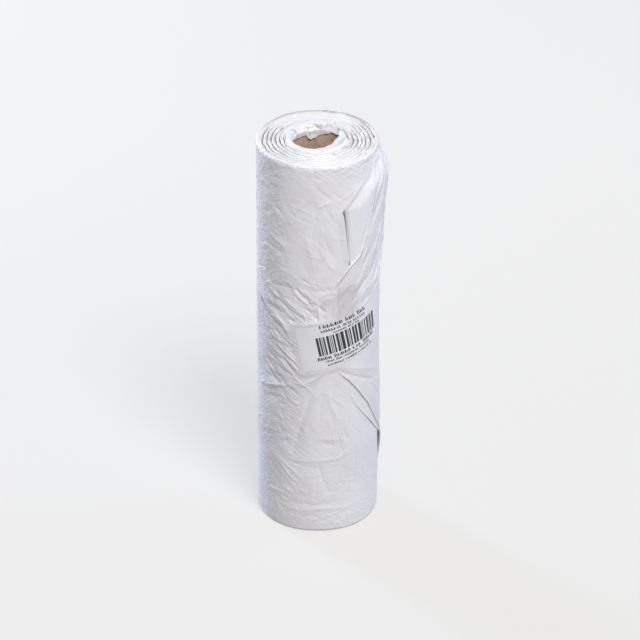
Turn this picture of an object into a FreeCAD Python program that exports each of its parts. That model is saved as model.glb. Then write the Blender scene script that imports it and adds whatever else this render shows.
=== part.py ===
# A roll of thin white bin bags, wound on a cardboard tube and held shut by an adhesive label.
# The roll stands on its end: +Z runs up its axis, and the origin is the centre of the tube's lower end.
# Places on the outside are given as (arc, height): the arc is measured round the roll from the front line,
# which faces -Y, and is positive towards +X.
import FreeCAD, Part
import math
import os

from FreeCAD import Base, Vector

# Wound film
ROLL_LENGTH = 260.0
ROLL_RADIUS = 37.5
RIM_BEVEL = 1.0

# Cardboard tube
TUBE_BORE_RADIUS = 15.5
TUBE_WALL = 1.5
TUBE_RECESS = 3.0

# Film pushed in over the tube's upper end. LIP_NEAR gives angles from the front and how far the film
# reaches in past the bore's wall there, and LIP_FAR the same for the far side.
LIP_NEAR = [(-78.0, 0.6), (-35.0, 3.2), (-9.0, 1.3), (19.5, 2.0), (92.0, 2.5)]
LIP_FAR = 0.5
LIP_FLARE = 1.4

# Gaps between the turns, which run as one spiral over each end
TURN_PITCH = 3.4
TURN_GAP = 0.6
TURN_GAP_DEPTH = 1.4
TURN_MARGIN = 1.9

# Adhesive label
LABEL_WIDTH = 70.0
LABEL_HEIGHT = 32.0
LABEL_THICKNESS = 0.15
LABEL_CORNER = 1.2
LABEL_TILT = 11.0
LABEL_ARC = 22.2
LABEL_DROP = 122.0

# Loose end of the last bag: film thickness where it is gathered, and how far its folds stand off the roll.
# A sweep is the angle from where a layer faces to where it has sunk into the roll.
TAIL_THICKNESS = 0.8
TAIL_FACING = 45.0
TAIL_SWEEP = 94.0
TAIL_INSET = 3.0
TAIL_ROOT = 2.0
FOLD_THICKNESS = 0.7
FOLD_SWEEP = 85.0
UPPER_STAND_OFF = 5.2
UPPER_FACING = 110.0
UPPER_PIVOT = 27.0
UPPER_SWELL = 21.0
RIM_STAND_OFF = 0.4
LOWER_STAND_OFF = 2.4
LOWER_FACING = 95.0
LOWER_PIVOT = 26.0

# The tail's free edge and folds from the top rim down to the label, with heights from the label's centre
UPPER_CORNER_ARC = 47.8
UPPER_EDGE = [(15.7, 89.0), (19.2, 52.0)]
UPPER_TIP = [(19.7, 50.5), (4.4, 31.0)]
UPPER_FOLD_ARC = 44.0
UPPER_FOLD = [(42.3, 100.0), (40.2, 87.0), (37.4, 75.0), (32.2, 65.0)]
# The folds from the label down to the bottom rim
LOWER_FOLD = [(11.6, -21.0), (29.7, -42.0), (38.1, -54.5), (49.7, -72.0), (58.9, -82.3)]
LOWER_PLEAT = [(47.5, -76.5), (31.8, -60.4), (22.3, -47.8)]
LOWER_CORNER_ARC = 78.0

# Creases in the outermost turn, each through a row of places
CREASE_WIDTH = 5.0
CREASE_HEIGHT = 1.0
CREASE_ROOT = 0.5
# Drawn towards the label, with heights from its centre
LABEL_CREASES = [
    [(-40.0, 31.5), (-28.0, 34.5), (-15.1, 35.1), (-6.5, 24.5), (1.2, 14.7)],
    [(-32.2, 29.3), (-18.1, 25.5), (-7.6, 16.2), (-3.2, 12.4)],
    [(-50.7, 27.4), (-42.0, 25.5), (-33.9, 22.2), (-25.0, 18.5), (-15.5, 11.0)],
    [(-48.4, 19.8), (-39.0, 17.5), (-30.5, 13.6), (-22.0, 10.2), (-14.5, 4.5)],
    [(-46.4, 9.7), (-37.0, 7.5), (-29.0, 4.1), (-21.0, 0.0), (-13.3, -6.5)],
    [(-44.4, 2.3), (-36.0, 0.0), (-29.0, -3.5), (-20.0, -8.5), (-12.1, -14.0)],
    [(-42.4, -8.0), (-35.0, -9.5), (-27.5, -13.0), (-19.5, -16.5), (-12.1, -21.5)],
    [(-42.4, -19.4), (-33.0, -19.8), (-24.6, -20.8), (-11.0, -25.0)],
    [(-48.4, -42.1), (-39.0, -39.8), (-30.5, -37.0), (-21.0, -33.5), (-11.0, -30.4), (2.4, -25.4)],
    [(-44.0, -53.5), (-35.0, -53.0), (-26.0, -54.1)],
    [(-37.7, -41.5), (-28.5, -44.5), (-19.4, -49.4)],
    [(8.5, -26.0), (5.6, -36.0), (1.0, -47.0), (-3.2, -58.0), (-9.8, -78.9)],
    [(11.3, -25.5), (12.4, -40.2), (11.3, -60.2)],
    [(3.5, -28.5), (0.1, -39.0), (-7.6, -52.1)],
]
# Near the lower end, with heights from it
FOOT_CREASES = [
    [(-32.2, 48.5), (-24.5, 42.8), (-16.9, 36.2), (-5.4, 24.3)],
    [(-32.2, 39.7), (-19.4, 31.7), (-11.0, 23.5)],
    [(6.8, 40.5), (11.3, 29.8), (13.6, 18.0)],
]
# Near the upper end, with heights from it
TOP_CREASES = [
    [(-3.4, -11.4), (2.8, -17.9), (9.2, -23.5)],
    [(-36.4, -59.0), (-26.9, -62.1), (-19.3, -63.8)],
    [(-36.4, -51.8), (-27.0, -55.0), (-19.3, -60.4)],
]

tube_radius = TUBE_BORE_RADIUS + TUBE_WALL
tube_top = ROLL_LENGTH - TUBE_RECESS
label_middle = ROLL_LENGTH - LABEL_DROP
tail_top = ROLL_LENGTH - TAIL_INSET
tail_bottom = TAIL_INSET
upper_pivot = label_middle + UPPER_PIVOT
upper_swell = ROLL_LENGTH - UPPER_SWELL
lower_pivot = label_middle - LOWER_PIVOT


def facing(angle):
    """Unit vector that points outwards at an angle round the roll, in degrees from the front."""
    turn = math.radians(angle)
    return Vector(math.sin(turn), -math.cos(turn), 0)


def leaning_cylinder(radius, foot, shift=Vector(0, 0, 0), pivot=0.0, rise=1.0):
    """Cylinder whose axis passes through foot at the pivot's height and has moved by shift after rise."""
    surface = Part.Cylinder()
    surface.Radius = radius
    lean = FreeCAD.Rotation(Vector(0, 0, 1), Vector(shift.x, shift.y, rise))
    at_pivot = Vector(foot.x, foot.y, pivot)
    below = lean.multVec(Vector(0, 0, -pivot))
    surface.transform(FreeCAD.Placement(at_pivot + below, lean).toMatrix())
    return surface


def on_surface(place):
    """Surface parameters of a place (arc, height)."""
    arc, height = place
    return Base.Vector2d(arc / ROLL_RADIUS - math.pi / 2, height)


def raised(places, datum):
    """Places whose heights were given from a datum."""
    return [(arc, datum + height) for arc, height in places]


def loop_on(surface, outline):
    """Closed loop of edges that follows an outline of places on a cylinder."""
    edges = []
    for start, end in zip(outline, outline[1:] + outline[:1]):
        line = Part.Geom2d.Line2dSegment(on_surface(start), on_surface(end))
        edges.append(line.toShape(surface))
    return edges


def wrapped_layer(outline, inner, outer):
    """Solid between two cylinders, cut to an outline of places."""
    loops = [loop_on(surface, outline) for surface in (inner, outer)]
    faces = [Part.makeRuledSurface(low, high) for low, high in zip(*loops)]
    for surface, edges in zip((inner, outer), loops):
        faces.append(Part.Face(surface, Part.Wire(edges)))
    shell = Part.makeShell(faces)
    shell.sewShape()
    layer = Part.makeSolid(shell)
    if layer.Volume < 0:
        layer.reverse()
    return layer


def at_angle(angle):
    """Arc that reaches an angle round the roll."""
    return math.radians(angle) * ROLL_RADIUS


def label_outline():
    """Rounded rectangle of the label, turned by its tilt, as places."""
    turn = math.radians(LABEL_TILT)
    half_width = LABEL_WIDTH / 2
    half_height = LABEL_HEIGHT / 2
    inset = LABEL_CORNER
    corner = [(-half_width, -half_height + inset), (-half_width + inset, -half_height)]
    corners = corner + [(-x, y) for x, y in reversed(corner)]
    corners += [(-x, -y) for x, y in corners]
    places = []
    for x, y in corners:
        arc = LABEL_ARC + x * math.cos(turn) - y * math.sin(turn)
        height = label_middle + x * math.sin(turn) + y * math.cos(turn)
        places.append((arc, height))
    return places


def cardboard_tube():
    """Plain spiral-wound tube, flush with the film at the bottom and short of it at the top."""
    outside = Part.makeCylinder(tube_radius, tube_top)
    bore = Part.makeCylinder(TUBE_BORE_RADIUS, tube_top)
    return outside.cut(bore)


def wound_film():
    """Film between the tube and the outermost turn, closed over the tube's upper end."""
    profile = Part.makePolygon([
        Vector(tube_radius, 0, 0),
        Vector(ROLL_RADIUS, 0, 0),
        Vector(ROLL_RADIUS, 0, ROLL_LENGTH),
        Vector(0, 0, ROLL_LENGTH),
        Vector(0, 0, tube_top),
        Vector(tube_radius, 0, tube_top),
        Vector(tube_radius, 0, 0),
    ])
    film = Part.Face(profile).revolve(Vector(0, 0, 0), Vector(0, 0, 1), 360)
    rims = [edge for edge in film.Edges if is_outer_rim(edge)]
    return film.makeChamfer(RIM_BEVEL, rims)


def is_outer_rim(edge):
    """Whether an edge is the round outer edge of one of the ends."""
    curve = edge.Curve
    return isinstance(curve, Part.Circle) and abs(curve.Radius - ROLL_RADIUS) < 1e-6


def lip_outline(height, flare):
    """Outline of the film's mouth at a height: round on the far side, in creased lengths on the near side."""
    near = [facing(angle) * (TUBE_BORE_RADIUS - reach + flare) for angle, reach in LIP_NEAR]
    far = facing(180) * (TUBE_BORE_RADIUS - LIP_FAR + flare)
    edges = [Part.makeLine(start, end) for start, end in zip(near, near[1:])]
    edges.append(Part.Arc(near[-1], far, near[0]).toShape())
    outline = Part.Wire(edges)
    outline.translate(Vector(0, 0, height))
    return outline


def lip_mouth():
    """Flared opening that the pushed-in film leaves over the tube."""
    return Part.makeLoft([lip_outline(tube_top, 0), lip_outline(ROLL_LENGTH, LIP_FLARE)], True, True)


def half_turn(index, start):
    """One half turn of a spiral that begins at a radius: an arc whose centre changes sides every half turn."""
    side = 1 if index % 2 else -1
    growth = TURN_PITCH / 2
    centre = Vector(side * growth / 2, 0, 0)
    circle = Part.Circle(centre, Vector(0, 0, 1), start + growth * index)
    first = math.pi * (index % 2)
    return circle.toShape(first, first + math.pi)


def turn_gaps():
    """Spiral gap between the turns, as deep as it is cut into one end, standing on the plane z = 0."""
    start = tube_radius + TURN_MARGIN
    room = ROLL_RADIUS - TURN_MARGIN - TURN_GAP - start
    count = max(2, int(2 * room / TURN_PITCH))
    inner = [half_turn(index, start) for index in range(count)]
    outer = [half_turn(index, start + TURN_GAP) for index in range(count)]
    mouth = Part.makeLine(inner[0].firstVertex(True).Point, outer[0].firstVertex(True).Point)
    tip = Part.makeLine(inner[-1].lastVertex(True).Point, outer[-1].lastVertex(True).Point)
    band = Part.Face(Part.Wire(Part.sortEdges([*inner, tip, *outer, mouth])[0]))
    return band.extrude(Vector(0, 0, TURN_GAP_DEPTH))


def crease(places):
    """Raised crease along a row of places: a low three-sided ridge that comes to a point at each end."""
    roots = [place_point(place, ROLL_RADIUS - CREASE_ROOT) for place in places]
    sections = [Part.Vertex(roots[0])]
    for before, root, after in zip(roots, roots[1:], roots[2:]):
        outwards = Vector(root.x, root.y, 0).normalize()
        across = (after - before).cross(outwards).normalize() * (CREASE_WIDTH / 2)
        crest = root + outwards * (CREASE_ROOT + CREASE_HEIGHT)
        sections.append(Part.makePolygon([root - across, crest, root + across, root - across]))
    sections.append(Part.Vertex(roots[-1]))
    return Part.makeLoft(sections, True, True)


def place_point(place, radius):
    """Point in space at a place (arc, height) and a radius."""
    arc, height = place
    return facing(math.degrees(arc / ROLL_RADIUS)) * radius + Vector(0, 0, height)


def standing_off(thickness, angle, stand_off, pivot, rise):
    """Outside of film that lies on the roll at the pivot's height and stands off it after the rise."""
    foot = facing(TAIL_FACING) * thickness
    return leaning_cylinder(ROLL_RADIUS, foot, facing(angle) * stand_off, pivot, rise)


def rim_clearance():
    """Space outside the upper fold, which draws in again from its widest height up to the rim."""
    widest = facing(TAIL_FACING) * TAIL_THICKNESS + facing(UPPER_FACING) * UPPER_STAND_OFF
    drawn_in = facing(UPPER_FACING) * (RIM_STAND_OFF - UPPER_STAND_OFF)
    surface = leaning_cylinder(ROLL_RADIUS, widest, drawn_in, upper_swell, tail_top - upper_swell)
    inside = Part.makeCylinder(ROLL_RADIUS, 2 * ROLL_LENGTH)
    inside.Placement = FreeCAD.Placement(surface.Center, surface.Rotation)
    around = Part.makeCylinder(2 * ROLL_RADIUS, ROLL_LENGTH - upper_pivot)
    around.translate(Vector(0, 0, upper_pivot))
    return around.cut(inside)


def upper_layers(inner):
    """Gathered film above the label: the layer with the free edge, and the fold that lies over it."""
    rise = upper_swell - upper_pivot
    gathered = standing_off(TAIL_THICKNESS, UPPER_FACING, UPPER_STAND_OFF, upper_pivot, rise)
    folded = standing_off(TAIL_THICKNESS + FOLD_THICKNESS, UPPER_FACING, UPPER_STAND_OFF, upper_pivot, rise)
    tip = raised(UPPER_TIP, label_middle)
    back = at_angle(UPPER_FACING + FOLD_SWEEP)
    rest = [(tip[-1][0] + 2, upper_pivot), (back, upper_pivot), (back, tail_top)]
    edged = [(UPPER_CORNER_ARC, tail_top), *raised(UPPER_EDGE, label_middle), *tip, *rest]
    over = [*raised(UPPER_FOLD, label_middle), *tip, *rest, (UPPER_FOLD_ARC, tail_top)]
    clearance = rim_clearance()
    return [
        wrapped_layer(edged, inner, gathered).cut(clearance),
        wrapped_layer(over, inner, folded).cut(clearance),
    ]


def lower_layers(inner):
    """Gathered film below the label: the layer that stands off the roll's foot, and the pleat along its edge."""
    rise = lower_pivot - tail_bottom
    gathered = standing_off(TAIL_THICKNESS, LOWER_FACING, -LOWER_STAND_OFF, lower_pivot, rise)
    folded = standing_off(TAIL_THICKNESS + FOLD_THICKNESS, LOWER_FACING, -LOWER_STAND_OFF, lower_pivot, rise)
    fold = raised(LOWER_FOLD, label_middle)
    back = at_angle(LOWER_FACING + FOLD_SWEEP)
    rest = [(back, tail_bottom), (back, lower_pivot), (fold[0][0] + 8, lower_pivot)]
    return [
        wrapped_layer([*fold, (LOWER_CORNER_ARC, tail_bottom), *rest], inner, gathered),
        wrapped_layer([*fold, *raised(LOWER_PLEAT, label_middle)], inner, folded),
    ]


def tail_layers():
    """Gathered tail of the last bag: the film that the label holds, and the folds above and below it."""
    inner = leaning_cylinder(ROLL_RADIUS - TAIL_ROOT, Vector(0, 0, 0))
    held = leaning_cylinder(ROLL_RADIUS, facing(TAIL_FACING) * TAIL_THICKNESS)
    edge = [(UPPER_CORNER_ARC, tail_top), *raised(UPPER_EDGE + UPPER_TIP + LOWER_FOLD, label_middle)]
    back = at_angle(TAIL_FACING + TAIL_SWEEP)
    outline = [*edge, (LOWER_CORNER_ARC, tail_bottom), (back, tail_bottom), (back, tail_top)]
    return [wrapped_layer(outline, inner, held), *upper_layers(inner), *lower_layers(inner)]


def creases():
    """All the raised creases in the outermost turn."""
    rows = [raised(places, label_middle) for places in LABEL_CREASES]
    rows += FOOT_CREASES
    rows += [raised(places, ROLL_LENGTH) for places in TOP_CREASES]
    return [crease(places) for places in rows]


def label_seat():
    """The film pressed flat under the label, and the space over it that the label keeps clear."""
    inner = leaning_cylinder(ROLL_RADIUS - TAIL_ROOT, Vector(0, 0, 0))
    seat = leaning_cylinder(ROLL_RADIUS, facing(TAIL_FACING) * TAIL_THICKNESS)
    clear = leaning_cylinder(ROLL_RADIUS + UPPER_STAND_OFF, facing(TAIL_FACING) * TAIL_THICKNESS)
    return wrapped_layer(label_outline(), inner, seat), wrapped_layer(label_outline(), seat, clear)


def bag_roll():
    """All the film as one solid: the turns, their gaps at both ends, the lip, the tail and the creases."""
    film = wound_film().cut(lip_mouth())
    gap = turn_gaps()
    lower_gap = gap.copy()
    upper_gap = gap.copy()
    upper_gap.translate(Vector(0, 0, ROLL_LENGTH - TURN_GAP_DEPTH))
    film = film.cut([lower_gap, upper_gap])
    for layer in tail_layers():
        film = film.fuse(layer)
    film = film.fuse(creases())
    seat, clear = label_seat()
    return film.cut(clear).fuse(seat)


def adhesive_label():
    """Thin label stuck down over the tail's tip."""
    gathered = facing(TAIL_FACING) * TAIL_THICKNESS
    seat = leaning_cylinder(ROLL_RADIUS, gathered)
    face = leaning_cylinder(ROLL_RADIUS + LABEL_THICKNESS, gathered)
    return wrapped_layer(label_outline(), seat, face)


def main():
    os.makedirs("parts", exist_ok=True)
    parts = {
        "cardboard_tube": cardboard_tube(),
        "bag_roll": bag_roll(),
        "adhesive_label": adhesive_label(),
    }
    for name, shape in parts.items():
        solids = len(shape.Solids)
        print(name, "valid", shape.isValid(), "solids", solids, "volume", round(shape.Volume, 1))
        shape.exportStep(f"parts/{name}.step")


main()
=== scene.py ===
"""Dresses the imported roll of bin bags: film, loose end, pushed-in mouth, cardboard core and label."""
import bisect
import math
import random
from functools import lru_cache

import bmesh
import bpy
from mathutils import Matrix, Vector, noise


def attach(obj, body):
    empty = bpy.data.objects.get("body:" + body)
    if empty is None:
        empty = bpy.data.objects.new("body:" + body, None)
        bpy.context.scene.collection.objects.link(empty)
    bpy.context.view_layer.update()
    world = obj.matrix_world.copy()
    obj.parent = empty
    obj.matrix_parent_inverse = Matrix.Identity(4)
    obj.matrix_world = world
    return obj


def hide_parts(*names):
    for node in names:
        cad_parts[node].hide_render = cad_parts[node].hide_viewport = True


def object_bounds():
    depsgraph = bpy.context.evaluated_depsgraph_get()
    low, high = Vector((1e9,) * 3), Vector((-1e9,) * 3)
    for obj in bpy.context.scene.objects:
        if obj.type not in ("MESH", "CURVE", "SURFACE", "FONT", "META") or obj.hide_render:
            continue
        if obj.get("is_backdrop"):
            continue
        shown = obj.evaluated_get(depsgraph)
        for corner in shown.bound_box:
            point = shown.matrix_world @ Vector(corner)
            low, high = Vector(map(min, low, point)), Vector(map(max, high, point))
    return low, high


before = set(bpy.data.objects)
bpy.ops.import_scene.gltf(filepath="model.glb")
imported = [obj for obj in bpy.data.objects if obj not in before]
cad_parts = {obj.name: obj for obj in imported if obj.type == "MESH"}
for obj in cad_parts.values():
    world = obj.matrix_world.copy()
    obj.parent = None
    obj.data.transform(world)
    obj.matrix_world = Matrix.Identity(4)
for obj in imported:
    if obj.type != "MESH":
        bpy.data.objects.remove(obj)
cad_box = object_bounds()

# Sizes of the roll in millimetres, with angles in degrees from the front towards the right
MM = 0.001
LENGTH = 260.0
RADIUS = 37.5
CORE_BORE = 15.5
CORE_WALL = 1.5
CORE_TOP = 257.0
MOUTH_RADIUS = 18.4
TURN_PITCH = 2.6
TURN_GAP = 0.22
LABEL_ARC = 22.2
LABEL_HEIGHT = 138.0
LABEL_TILT = math.radians(11)
LABEL_SKEW = 0.025
LABEL_HALF_WIDTH = 35.0
LABEL_HALF_HEIGHT = 16.0
LABEL_CORNER = 1.2
LABEL_SEAT = 0.8
LABEL_PAPER = 0.09
LABEL_BORDER = 0.1
INK_LIFT = 0.025

# The film's sheets: radii of the two ends from the outside in, lowest and highest places of the
# loose end's sheets, how far they stand off the roll, and thicknesses
TOP_SPAN = (35.7, MOUTH_RADIUS - 0.6)
FOOT_SPAN = (35.3, CORE_BORE + CORE_WALL - 0.2)
END_RIM = 35.5
PANEL_SPAN = (186.5, 254.5)
SHEET_SPAN = (3.2, 257.6)
SHEET_END = 124.0
PLEAT_SPAN = (53.0, 113.0)
OVERHANG_SPAN = (187.5, 229.0)
OVERHANG_WIDTH = 9.0
FLAP_STAND_OFF = 5.2
SKIRT_STAND_OFF = 2.4
DROP_UNDER_SHEET = 1.1
FILM_WALL = 0.10
MOUTH_WALL = 0.12

# Fineness of the grids
ROUND_COLUMNS = 420
END_COLUMNS = 336
HALF_ROWS = 220
RIM_ROWS = 12
SIDE_SEAM = 138.0
END_ROWS = 84
MOUTH_ROWS = 36
PANEL_GRID = (60, 110)
SHEET_GRID = (164, 290)
PLEAT_GRID = (36, 90)
OVERHANG_GRID = (16, 70)
PAPER_GRID = (84, 40)
CORE_STEPS = 128

# Outer profile of the roll from inside its lower rim to inside its upper rim, as radius and height
LOWER_RIM = [(34.2, 2.0), (34.5, 0.9), (35.2, 0.2), (36.2, 0.05), (37.0, 0.35), (37.5, 1.5)]
UPPER_RIM = [(37.5, 258.0), (37.25, 259.3), (36.6, 260.1), (35.8, 260.2), (35.2, 259.6), (34.9, 258.2)]

# Edge of the pushed-in film round the mouth, as angle, radius and height
MOUTH_EDGE = [
    (-180, 15.0, 253.6), (-176, 14.8, 252.6), (-163, 14.4, 251.1), (-153, 15.0, 253.6), (-148, 15.1, 254.3),
    (-126, 15.2, 254.9), (-104, 15.1, 256.4), (-92, 15.1, 257.6), (-80, 15.2, 258.8), (-60, 14.3, 259.2),
    (-46, 13.6, 259.3), (-30, 13.2, 259.3), (-12, 12.6, 259.3), (10, 11.3, 259.3), (25, 10.8, 259.3),
    (40, 10.5, 259.4), (60, 10.4, 259.5), (86, 10.6, 259.5), (100, 12.2, 259.3), (114, 14.2, 258.9),
    (121, 15.0, 258.2), (135, 15.1, 257.0), (147, 15.1, 255.9), (165, 15.1, 254.6), (180, 15.0, 253.6),
]

# Edges of the loose end, as distance round from the front and height
PANEL_EDGE = [
    (20.2, 186.0), (19.6, 190.2), (17.2, 209.5), (15.2, 228.2), (18.0, 230.6), (23.3, 235.5), (28.5, 240.8),
    (33.9, 244.4), (45.0, 254.6), (47.8, 258.0),
]
FLAP_EDGE = [
    (10.0, 124.0), (2.0, 148.0), (2.0, 160.0), (3.7, 168.7), (8.8, 174.9), (15.7, 183.8), (19.7, 188.5),
    (23.2, 191.2), (26.8, 194.9), (29.6, 202.3), (32.0, 211.1), (34.0, 221.1), (35.2, 226.6), (36.0, 237.1),
    (38.0, 242.8), (41.5, 250.0), (44.0, 258.5),
]
SKIRT_EDGE = [
    (78.0, 3.0), (67.0, 33.0), (57.0, 55.7), (47.4, 66.5), (40.5, 76.6), (36.0, 84.8), (30.1, 93.3),
    (25.0, 100.8), (19.0, 108.6), (14.8, 112.8), (11.5, 117.5), (10.0, 124.0),
]
PLEAT_EDGE = [
    (57.5, 52.0), (46.0, 62.7), (38.0, 71.5), (31.0, 80.0), (25.5, 88.0), (20.5, 97.0),
    (15.9, 107.1), (12.4, 113.5),
]

# Creases pressed into the film: height of the crest, width above, width below, then places (arc, height)
CREASES = [
    (-0.55, 0.9, 1.8, [(-32.3, 172.8), (-19.9, 174), (-12.8, 173.4), (-6.1, 166.9), (-1.6, 159.7)]),
    (-0.60, 1.6, 3.0, [(-18.8, 169.7), (-11.2, 164.5), (-5.1, 159), (1.9, 151.7)]),
    (0.50, 1.4, 1.0, [(-25.4, 167), (-15.5, 161.9), (-6.1, 155.4), (0.4, 153.4)]),
    (-0.35, 0.8, 1.4, [(-28.7, 167.4), (-18.8, 159.9)]),
    (0.35, 1.3, 0.9, [(-37.3, 164.2), (-23.5, 158.5)]),
    (-0.40, 0.9, 1.6, [(-33.1, 157.5), (-19.9, 154.4)]),
    (0.45, 1.6, 1.0, [(-52.4, 162.4), (-45, 158.5), (-33.9, 158.3)]),
    (0.45, 1.5, 1.0, [(-43.7, 167.2), (-36.4, 161.1), (-25.4, 158.4)]),
    (0.50, 1.6, 1.0, [(-32.3, 150.4), (-22.3, 145.7), (-14.9, 141.4)]),
    (-0.40, 0.9, 1.5, [(-36.4, 151.4), (-27.3, 146.2), (-19.4, 144.3)]),
    (-0.35, 0.8, 1.4, [(-20.5, 153.1), (-13.3, 150.4), (-9.1, 148.8)]),
    (0.40, 1.4, 0.9, [(-35.6, 138), (-26, 134.6), (-16.5, 133)]),
    (-0.40, 0.9, 1.5, [(-26, 139.8), (-19.4, 135.1), (-13.3, 130.8)]),
    (-0.35, 0.8, 1.4, [(-35.6, 140.3), (-23.5, 132.6), (-21.1, 128.8)]),
    (0.45, 1.4, 0.9, [(-20.5, 122.7), (-12.2, 116.1)]),
    (-0.45, 0.9, 1.5, [(-28.7, 122.6), (-22.3, 122.7), (-13.3, 113)]),
    (-0.40, 0.9, 1.6, [(-37.3, 117.6), (-26, 112.8)]),
    (-0.35, 0.8, 1.3, [(-38.3, 105.1), (-31.6, 106.5), (-26, 104.7)]),
    (-0.30, 0.8, 1.3, [(-31.6, 110.5), (-23.5, 107.9)]),
    (0.70, 1.7, 0.9, [(-50, 94.2), (-33.9, 99.7), (-19.9, 103.9), (-13.8, 106.6)]),
    (0.50, 1.4, 1.0, [(-13.3, 103.8), (-4.1, 109.7), (3.9, 116)]),
    (-0.50, 0.8, 1.6, [(-38.3, 89), (-33.1, 92.6), (-26, 90.9)]),
    (-0.80, 0.8, 1.2, [(0.3, 163.1), (5.5, 158.8)]),
    (0.70, 1.0, 0.8, [(3.7, 157.9), (7.1, 154.5)]),
    (0.80, 0.6, 0.7, [(0.0, 163.7), (0.8, 158), (1.5, 152.4)]),
    (-0.60, 0.6, 0.8, [(5.9, 171.1), (5.9, 165.4)]),
    (0.50, 0.7, 0.6, [(7.9, 170.8), (8.1, 163.5)]),
    (-0.40, 0.8, 1.3, [(7.5, 173.1), (6.4, 164.6)]),
    (0.35, 1.2, 0.9, [(2.9, 168.9), (6.9, 172.6), (9, 173.5)]),
    (-1.05, 1.8, 3.4, [(2, 112), (-4.9, 99.1), (-7.4, 88.8), (-11.2, 74.6), (-14.6, 63.7), (-16.8, 55.9)]),
    (1.15, 1.8, 2.6, [(4.0, 112.0), (-0.2, 99.9), (-3.3, 89), (-8, 75.5), (-11.8, 63)]),
    (0.55, 1.2, 1.8, [(7.0, 110.0), (7.2, 97.1), (9.0, 90.2), (13.4, 80.4)]),
    (-0.60, 1.4, 2.0, [(4.8, 110.0), (2.3, 97.5), (1.3, 86.7), (0.8, 74.2)]),
    (0.30, 1.6, 1.6, [(0.3, 68.8), (18, 66)]),
    (-0.30, 1.4, 1.6, [(1.9, 65.2), (10.8, 63.1)]),
    (0.26, 1.4, 0.7, [(-23.5, 50.9), (-10.2, 51.3), (4.5, 52.2), (13.6, 52.5), (18.1, 55), (22.4, 59.1)]),
    (-0.15, 0.8, 1.2, [(-25.4, 49.6), (-8, 48.0), (7.6, 45.6), (17.5, 50.7)]),
    (0.50, 1.3, 0.8, [(-34.3, 53.1), (-23.5, 45), (-17.4, 37.8), (-10.2, 34)]),
    (0.45, 1.2, 0.8, [(-30.3, 52.5), (-18, 44.8), (-9.1, 37.1)]),
    (-0.40, 0.8, 1.4, [(-35.2, 46.7), (-25.4, 36.5)]),
    (0.35, 1.3, 0.9, [(-34.3, 24.4), (-18, 25.1)]),
    (-0.40, 1.2, 1.8, [(0.3, 49.7), (3.4, 38.2), (7.6, 27.1)]),
    (-0.35, 1.5, 2.5, [(16.4, 63), (16.8, 44), (16.1, 23)]),
    (0.30, 1.6, 1.6, [(20.5, 60), (20.9, 40), (20.2, 26)]),
    (-0.30, 1.5, 2.0, [(24.3, 62), (24.9, 44), (24.0, 25)]),
    (0.25, 1.1, 0.8, [(-30, 17.5), (-12, 15.0), (6, 17.0), (24, 15.5)]),
    (-0.25, 0.8, 1.1, [(-20, 21.0), (-2, 19.5), (14, 21.5)]),
    (-0.30, 0.9, 1.6, [(-3.4, 248.6), (2.8, 242.1), (9.2, 236.5)]),
    (0.40, 1.1, 0.9, [(0.3, 232.1), (4.5, 234.6), (9.2, 235.8)]),
    (0.35, 1.6, 1.2, [(-17.9, 222.5), (-12, 230.5), (-7.2, 236)]),
    (-0.45, 0.9, 1.5, [(-36.4, 201), (-26.9, 197.9), (-19.3, 196.2)]),
    (0.40, 1.3, 0.9, [(-36.4, 208.2), (-23.7, 203.4), (-19.3, 199.1)]),
    (-0.25, 0.8, 1.2, [(-7.2, 174.1), (7.9, 174), (27.8, 171.7)]),
    (-0.40, 3.0, 4.0, [(-2.2, 236.4), (-0.9, 224.9), (-4.7, 207.5)]),
    (0.40, 3.0, 3.0, [(-8.5, 215.7), (-4.7, 201.7), (-2.2, 187.4)]),
    (-0.35, 1.4, 2.0, [(3.0, 214), (6.5, 203), (12.0, 194)]),
    (0.35, 1.5, 1.2, [(0.5, 206), (5.5, 195), (11.0, 186)]),
]

# Pull lines in the loose end, in the same terms
LOOSE_CREASES = [
    (-1.00, 1.0, 1.4, [(47.5, 240), (46, 233.5), (40, 219.4), (35.3, 207.3)]),
    (-1.20, 1.0, 1.6, [(56, 228), (52.4, 218.4), (46, 204.7), (37.5, 195.6), (29.5, 186.3)]),
    (-1.10, 1.0, 1.6, [(56, 214), (52.4, 199.7), (50.5, 190.7), (35.3, 176.5), (24.8, 170.1)]),
    (-0.90, 1.1, 1.9, [(58, 176), (52.4, 169.4), (40, 161.8), (24.5, 158.5)]),
    (0.75, 1.2, 1.0, [(58, 243), (54, 226), (50, 212)]),
    (0.70, 1.2, 1.2, [(60, 206), (57, 190), (45, 173), (33, 166)]),
    (0.55, 0.9, 0.9, [(46, 214), (41, 201), (33, 192)]),
    (1.00, 0.7, 0.5, [(7.7, 172.7), (10.3, 172.6), (11.2, 171), (10.8, 164), (10, 157.1)]),
    (0.55, 1.0, 0.8, [(9, 171), (5.5, 164), (4.5, 156)]),
    (-0.45, 0.8, 1.0, [(14, 172), (9, 163), (7, 154)]),
    (0.40, 0.8, 0.8, [(18, 168), (12, 160), (10, 155)]),
    (-0.40, 0.9, 1.4, [(16, 114.8), (29.4, 106.6), (49.5, 95.3)]),
    (0.40, 1.2, 0.9, [(20, 117), (36, 110), (54, 104)]),
    (-0.40, 1.0, 1.6, [(36, 101), (50, 84), (60, 66)]),
    (-0.60, 1.4, 2.0, [(66, 246), (70, 215), (66, 190), (58, 165)]),
    (-0.60, 1.6, 2.0, [(82, 250), (84, 215), (78, 185)]),
    (0.60, 1.5, 1.8, [(75, 240), (78, 205), (70, 178)]),
    (-0.45, 1.4, 2.0, [(70, 100), (80, 70), (88, 30)]),
    (-0.45, 1.4, 2.0, [(96, 108), (104, 64), (110, 22)]),
    (0.45, 1.4, 1.8, [(84, 104), (92, 60), (98, 24)]),
]

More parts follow.
